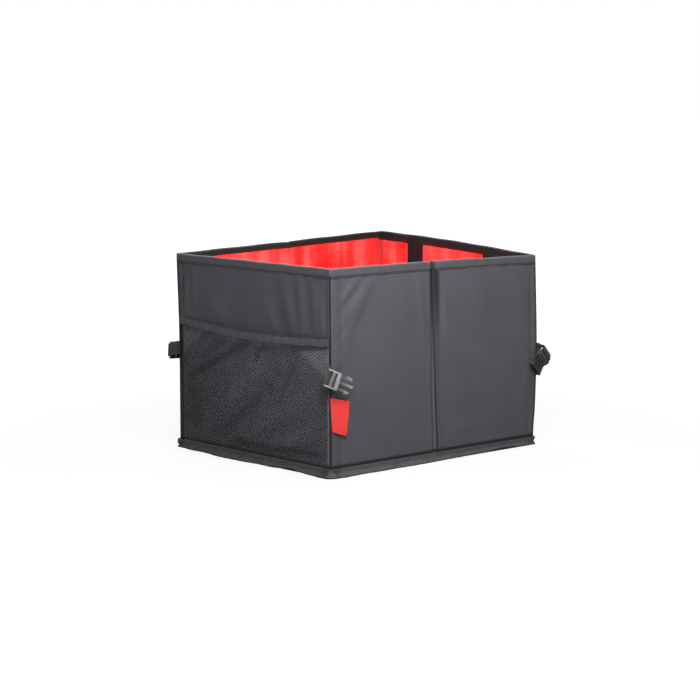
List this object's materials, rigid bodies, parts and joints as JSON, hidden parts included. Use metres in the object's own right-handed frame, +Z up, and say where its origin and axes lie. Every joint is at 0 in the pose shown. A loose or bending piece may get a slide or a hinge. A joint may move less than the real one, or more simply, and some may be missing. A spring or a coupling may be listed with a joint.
{
  "type": "car trunk organizer",
  "caption": "Open-topped fold-flat fabric box for a car boot, with stiffened walls, a net pocket, webbing handles and side-release buckles on corner straps.",
  "frame": {"origin": "middle of the underside of the base, on the surface that the box stands on", "axes": "+Z up; X along the long walls with the net pocket on the end wall at -X; Y across, with the front long wall at -Y"},
  "size_m": [0.4633, 0.381, 0.3],
  "materials": {
    "outer_cloth": "coated woven polyester, matt",
    "lining": "coated woven polyester with a soft sheen",
    "board": "stiffener board",
    "binding": "ribbed binding tape",
    "net": "knotless netting",
    "webbing": "ribbed webbing",
    "buckle": "satin moulded plastic",
    "tag": "smooth coated tag"
  },
  "bodies": {
    "box": {"front_wall_cloth": "outer_cloth", "back_wall_cloth": "outer_cloth", "net_end_wall_cloth": "outer_cloth", "plain_end_wall_cloth": "outer_cloth", "base_cloth": "outer_cloth", "front_wall_board_left": "board", "front_wall_board_right": "board", "back_wall_board_left": "board", "back_wall_board_right": "board", "net_end_wall_board": "board", "plain_end_wall_board": "board", "base_board_left": "board", "base_board_right": "board", "front_wall_lining": "lining", "back_wall_lining": "lining", "net_end_wall_lining": "lining", "plain_end_wall_lining": "lining", "base_lining": "lining", "rim_binding": "binding", "foot_binding": "binding", "pocket_binding": "binding", "pocket_net": "net", "net_end_handle": "webbing", "plain_end_handle": "webbing", "strap_male_front": "webbing", "strap_male_back": "webbing", "strap_female_front": "webbing", "strap_female_back": "webbing", "seam_tag": "tag"},
    "male_front": {"buckle_male_front": "buckle"},
    "male_back": {"buckle_male_back": "buckle"},
    "female_front": {"buckle_female_front": "buckle"},
    "female_back": {"buckle_female_back": "buckle"}
  },
  "joints": [
    {"name": "male_front_swing", "type": "hinge", "parent": "box", "child": "male_front", "pos_m": [-0.2217, -0.1817, 0.149], "axis": [-0.4067, 0, -0.9135], "range_deg": [-10, 140]},
    {"name": "male_back_swing", "type": "hinge", "parent": "box", "child": "male_back", "pos_m": [-0.2167, 0.1837, 0.149], "axis": [0.0698, 0, 0.9976], "range_deg": [-10, 130]},
    {"name": "female_front_swing", "type": "hinge", "parent": "box", "child": "female_front", "pos_m": [0.2227, -0.1847, 0.14], "axis": [-0.6561, 0, 0.7547], "range_deg": [-6, 120]},
    {"name": "female_back_swing", "type": "hinge", "parent": "box", "child": "female_back", "pos_m": [0.2227, 0.1847, 0.14], "axis": [0.5299, 0, -0.848], "range_deg": [-6, 120]}
  ]
}
